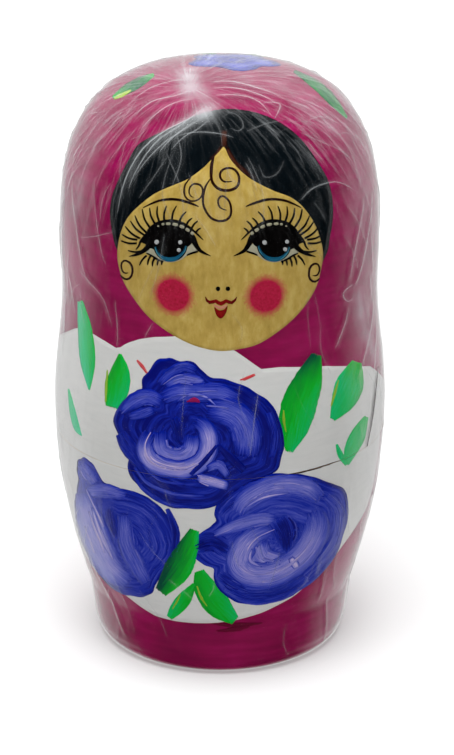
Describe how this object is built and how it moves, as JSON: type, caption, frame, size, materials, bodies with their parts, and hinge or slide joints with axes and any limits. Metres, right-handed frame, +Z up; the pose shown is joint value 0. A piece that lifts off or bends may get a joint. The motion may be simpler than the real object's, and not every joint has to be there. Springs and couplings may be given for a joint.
{
  "type": "nesting doll set",
  "caption": "Painted wooden nesting doll in clear film, with smaller dolls inside it, each in two halves that pull apart, down to a small solid doll.",
  "frame": {"origin": "middle of the outer doll's flat base", "axes": "+Z up along the axis that every doll is turned on, -Y towards the front, where the face is"},
  "size_m": [0.1016, 0.1016, 0.1804],
  "materials": {
    "painted_wood": "glossy lacquer over paint",
    "clear_film": "clear and glossy"
  },
  "bodies": {
    "outer_lower_half": {"outer_lower_half": "painted_wood", "film_lower": "clear_film"},
    "second_lower_half": {"second_lower_half": "painted_wood"},
    "third_lower_half": {"third_lower_half": "painted_wood"},
    "fourth_lower_half": {"fourth_lower_half": "painted_wood"},
    "fifth_lower_half": {"fifth_lower_half": "painted_wood"},
    "sixth_lower_half": {"sixth_lower_half": "painted_wood"},
    "solid_doll": {"solid_doll": "painted_wood"},
    "sixth_upper_half": {"sixth_upper_half": "painted_wood"},
    "fifth_upper_half": {"fifth_upper_half": "painted_wood"},
    "fourth_upper_half": {"fourth_upper_half": "painted_wood"},
    "third_upper_half": {"third_upper_half": "painted_wood"},
    "second_upper_half": {"second_upper_half": "painted_wood"},
    "outer_upper_half": {"outer_upper_half": "painted_wood", "film_upper": "clear_film"}
  },
  "joints": [
    {"name": "second_doll_lift", "type": "slide", "parent": "outer_lower_half", "child": "second_lower_half", "axis": [0, 0, 1], "range_m": [0, 0.079]},
    {"name": "third_doll_lift", "type": "slide", "parent": "second_lower_half", "child": "third_lower_half", "axis": [0, 0, 1], "range_m": [0, 0.066]},
    {"name": "fourth_doll_lift", "type": "slide", "parent": "third_lower_half", "child": "fourth_lower_half", "axis": [0, 0, 1], "range_m": [0, 0.054]},
    {"name": "fifth_doll_lift", "type": "slide", "parent": "fourth_lower_half", "child": "fifth_lower_half", "axis": [0, 0, 1], "range_m": [0, 0.043]},
    {"name": "sixth_doll_lift", "type": "slide", "parent": "fifth_lower_half", "child": "sixth_lower_half", "axis": [0, 0, 1], "range_m": [0, 0.035]},
    {"name": "solid_doll_lift", "type": "slide", "parent": "sixth_lower_half", "child": "solid_doll", "axis": [0, 0, 1], "range_m": [0, 0.027]},
    {"name": "sixth_upper_half_lift", "type": "slide", "parent": "solid_doll", "child": "sixth_upper_half", "axis": [0, 0, 1], "range_m": [0, 0.027]},
    {"name": "fifth_upper_half_lift", "type": "slide", "parent": "sixth_upper_half", "child": "fifth_upper_half", "axis": [0, 0, 1], "range_m": [0, 0.035]},
    {"name": "fourth_upper_half_lift", "type": "slide", "parent": "fifth_upper_half", "child": "fourth_upper_half", "axis": [0, 0, 1], "range_m": [0, 0.046]},
    {"name": "third_upper_half_lift", "type": "slide", "parent": "fourth_upper_half", "child": "third_upper_half", "axis": [0, 0, 1], "range_m": [0, 0.059]},
    {"name": "second_upper_half_lift", "type": "slide", "parent": "third_upper_half", "child": "second_upper_half", "axis": [0, 0, 1], "range_m": [0, 0.074]},
    {"name": "outer_upper_half_lift", "type": "slide", "parent": "second_upper_half", "child": "outer_upper_half", "axis": [0, 0, 1], "range_m": [0, 0.092]}
  ]
}
